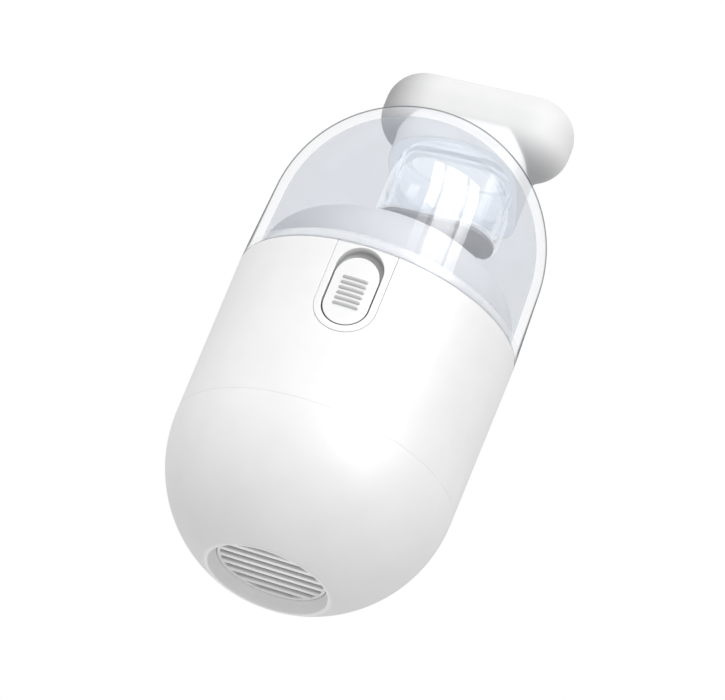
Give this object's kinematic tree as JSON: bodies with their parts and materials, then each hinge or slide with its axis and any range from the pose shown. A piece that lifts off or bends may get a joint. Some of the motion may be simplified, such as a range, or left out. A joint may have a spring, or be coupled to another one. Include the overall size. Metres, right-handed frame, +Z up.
{
  "type": "desktop mini vacuum cleaner",
  "caption": "Capsule-shaped desktop mini vacuum cleaner with a clear domed dust cup, a wide rounded nozzle, a slide switch and a slotted air outlet in its foot.",
  "frame": {"origin": "centre of the outlet rim that the vacuum stands on", "axes": "+Z up the capsule's axis towards the nozzle; -Y is the front with the slide switch; +X to the right seen from the front"},
  "size_m": [0.062, 0.062, 0.13],
  "materials": {
    "white_shell": "satin moulded ABS",
    "white_trim": "fine matt moulded ABS",
    "white_nozzle": "satin moulded ABS",
    "white_deck": "moulded ABS",
    "grille_white": "moulded ABS",
    "clear_cup": "clear polished moulding",
    "filter_cloth": "white non-woven felt",
    "filter_ring": "moulded plastic",
    "seal_rubber": "soft silicone rubber",
    "flap_rubber": "grey silicone rubber",
    "motor_steel": "zinc plated steel",
    "steel_pin": "polished steel",
    "motor_cap": "black moulded nylon",
    "fan_plastic": "moulded plastic",
    "holder_plastic": "moulded ABS",
    "cell_sleeve": "printed foil sleeve",
    "contact_metal": "nickel plated spring steel",
    "board_green": "solder-masked fibre board",
    "switch_black": "moulded nylon",
    "foam_grey": "open-cell foam",
    "bristle": "nylon bristle"
  },
  "bodies": {
    "housing": {"upper_housing": "white_shell", "switch_panel": "white_trim", "spigot_deck": "white_deck", "cup_seal": "seal_rubber", "filter_dome": "filter_cloth", "filter_ring": "filter_ring", "motor_can": "motor_steel", "motor_end_cap": "motor_cap", "fan_shroud": "white_deck", "battery_holder": "holder_plastic", "cell_left": "cell_sleeve", "cell_right": "cell_sleeve", "cell_contacts": "contact_metal", "circuit_board": "board_green", "switch_body": "switch_black"},
    "lower_cover": {"lower_cover": "white_shell", "exhaust_grille": "grille_white", "exhaust_foam": "foam_grey", "contact_disc": "contact_metal"},
    "switch_slider": {"slide_button": "white_trim", "switch_actuator": "switch_black"},
    "fan": {"motor_shaft": "steel_pin", "impeller": "fan_plastic"},
    "cup": {"dust_cup": "clear_cup", "flap_pin": "steel_pin"},
    "flap": {"inlet_flap": "flap_rubber"},
    "nozzle": {"nozzle_body": "white_nozzle", "nozzle_gasket": "seal_rubber", "brush_front": "bristle", "brush_back": "bristle"}
  },
  "joints": [
    {"name": "cover_twist", "type": "hinge", "parent": "housing", "child": "lower_cover", "pos_m": [0, 0, 0.0276], "axis": [0, 0, 1], "range_deg": [0, 20]},
    {"name": "switch_slide", "type": "slide", "parent": "housing", "child": "switch_slider", "axis": [0, 0, 1], "range_m": [0, 0.002]},
    {"name": "fan_spin", "type": "hinge", "parent": "housing", "child": "fan", "pos_m": [0, 0, 0.076], "axis": [0, 0, 1], "continuous": true},
    {"name": "cup_pull", "type": "slide", "parent": "housing", "child": "cup", "axis": [0, 0, 1], "range_m": [0, 0.025]},
    {"name": "flap_swing", "type": "hinge", "parent": "cup", "child": "flap", "pos_m": [0.00304, 0.02032, 0.09345], "axis": [0.989, -0.1478, 0], "range_deg": [0, 30], "stiffness_Nm_per_rad": 0.0004, "springref_deg": -28.65},
    {"name": "nozzle_pull", "type": "slide", "parent": "cup", "child": "nozzle", "axis": [0, 0, 1], "range_m": [0, 0.012]}
  ]
}
